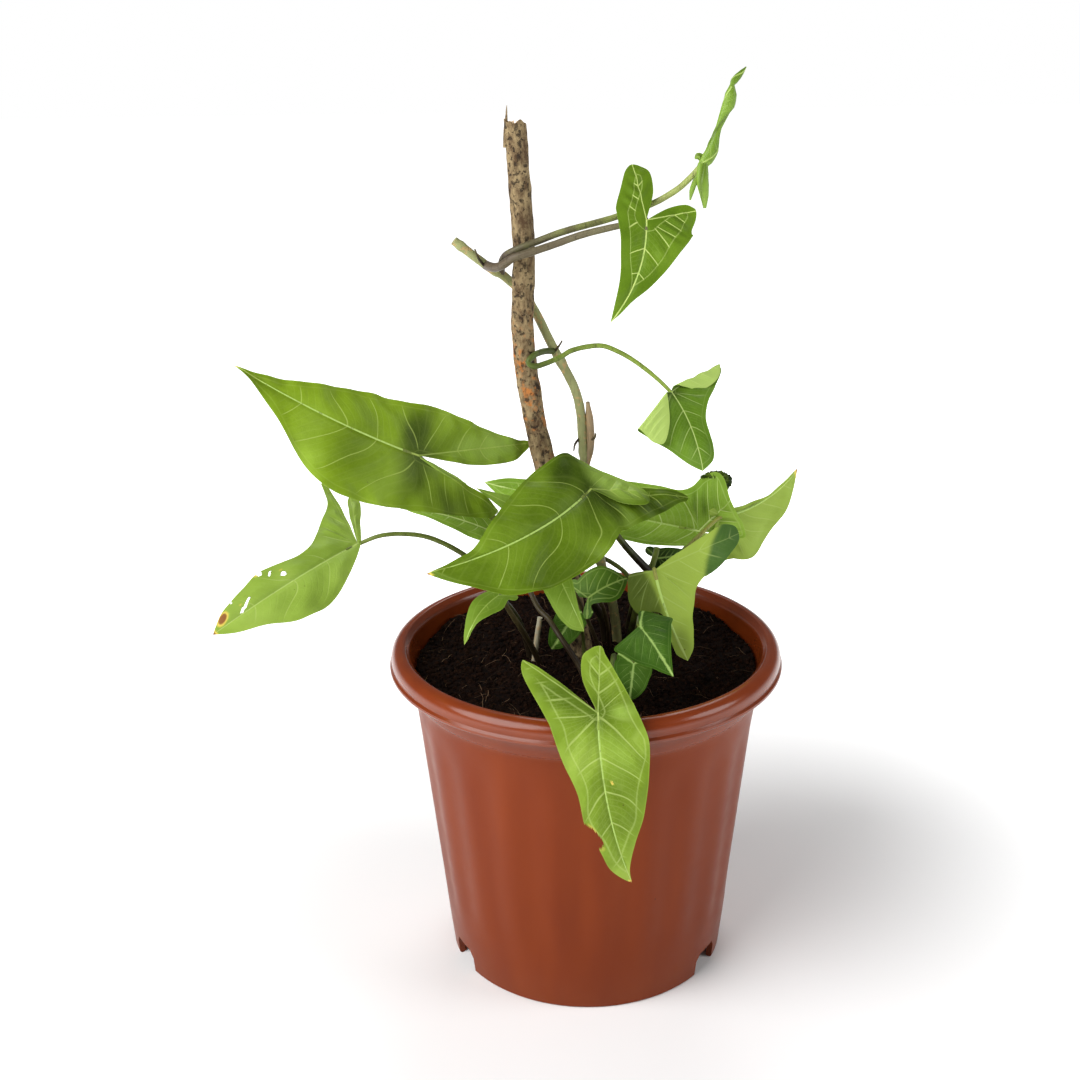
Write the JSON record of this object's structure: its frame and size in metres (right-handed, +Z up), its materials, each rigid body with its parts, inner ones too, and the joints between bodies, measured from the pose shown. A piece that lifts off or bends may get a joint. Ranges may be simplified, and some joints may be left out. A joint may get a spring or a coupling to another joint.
{
  "type": "potted arrowhead plant",
  "caption": "Arrowhead plant with lobed leaves on long stalks and a vine that climbs a cut branch, in a fluted round pot of soil.",
  "frame": {"origin": "middle of the flat underside that the pot stands on", "axes": "+Z up, -Y towards the side where the largest leaf hangs over the rim, +X to the right seen from there"},
  "size_m": [0.2793, 0.2184, 0.4512],
  "materials": {
    "pot": "satin terracotta-brown plastic",
    "soil": "dark crumbly potting soil",
    "bark": "grey-brown bark",
    "stalk": "satin green-brown stem",
    "leaf": "satin green leaf with paler veins"
  },
  "bodies": {
    "root": {"pot": "pot", "soil": "soil", "stake": "bark", "vine": "stalk", "shoot": "stalk", "cut_stalk": "stalk", "leaf_upper_left": "leaf", "leaf_front": "leaf", "leaf_lower_left": "leaf", "leaf_over_rim": "leaf", "leaf_right": "leaf", "leaf_right_hanging": "leaf", "leaf_middle_right": "leaf", "leaf_top": "leaf", "leaf_small_variegated": "leaf", "leaf_low_variegated": "leaf", "leaf_under_front": "leaf", "leaf_curled": "leaf", "leaf_under_variegated": "leaf", "leaf_behind_shoot": "leaf", "leaf_pale_variegated": "leaf", "leaf_back_left": "leaf", "leaf_below_upper_left": "leaf", "leaf_low_dark": "leaf", "leaf_young": "leaf"}
  },
  "joints": []
}
